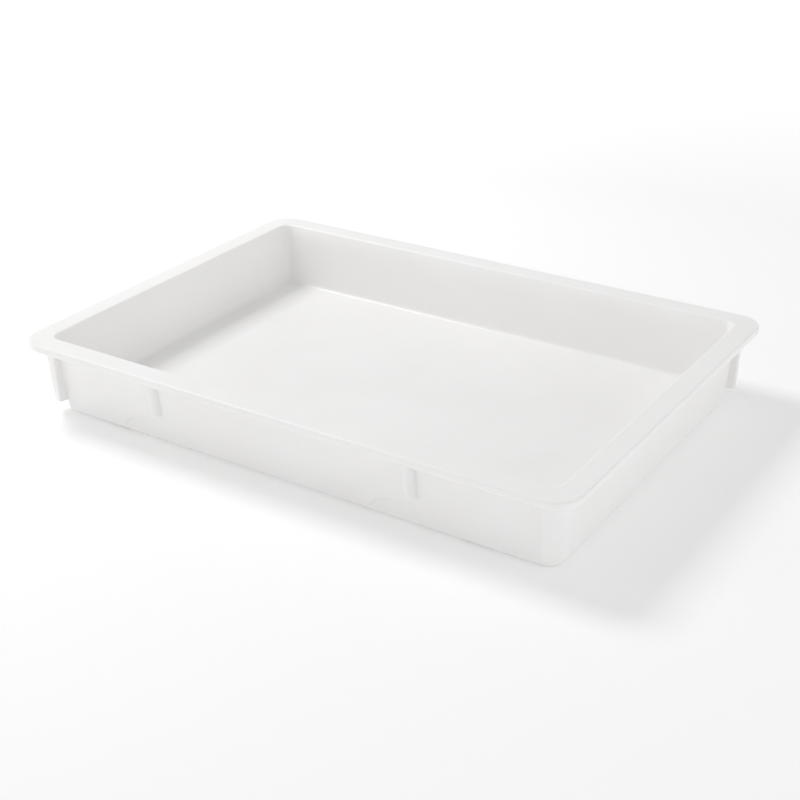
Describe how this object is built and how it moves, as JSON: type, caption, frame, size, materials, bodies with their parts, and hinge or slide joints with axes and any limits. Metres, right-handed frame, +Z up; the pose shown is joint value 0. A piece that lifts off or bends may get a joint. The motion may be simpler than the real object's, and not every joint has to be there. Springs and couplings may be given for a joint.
{
  "type": "developing tray",
  "caption": "White moulded plastic tray with a wide flat rim, drafted walls, corner posts and under-rim lugs for stacking, and a flat floor set in a foot rail.",
  "frame": {"origin": "on the surface the tray stands on, under the centre of the rim's outline", "axes": "+X along the tray's long side, +Y across it from the front wall to the back wall, +Z up through the open mouth"},
  "size_m": [0.66, 0.457, 0.088],
  "materials": {
    "white_moulding": "satin white moulded plastic, even colour right through, faint moulding texture and light rub marks"
  },
  "bodies": {
    "root": {"base_corner_back_left": "white_moulding", "base_corner_back_right": "white_moulding", "base_corner_front_left": "white_moulding", "base_corner_front_right": "white_moulding", "base_rail_back": "white_moulding", "base_rail_front": "white_moulding", "base_rail_left": "white_moulding", "base_rail_right": "white_moulding", "corner_post_back_left": "white_moulding", "corner_post_back_right": "white_moulding", "corner_post_front_left": "white_moulding", "corner_post_front_right": "white_moulding", "floor_panel": "white_moulding", "nesting_lug_back_left": "white_moulding", "nesting_lug_back_right": "white_moulding", "nesting_lug_front_left": "white_moulding", "nesting_lug_front_right": "white_moulding", "rim_back": "white_moulding", "rim_corner_back_left": "white_moulding", "rim_corner_back_right": "white_moulding", "rim_corner_front_left": "white_moulding", "rim_corner_front_right": "white_moulding", "rim_front": "white_moulding", "rim_left": "white_moulding", "rim_right": "white_moulding", "wall_back": "white_moulding", "wall_front": "white_moulding", "wall_left": "white_moulding", "wall_right": "white_moulding"}
  },
  "joints": []
}
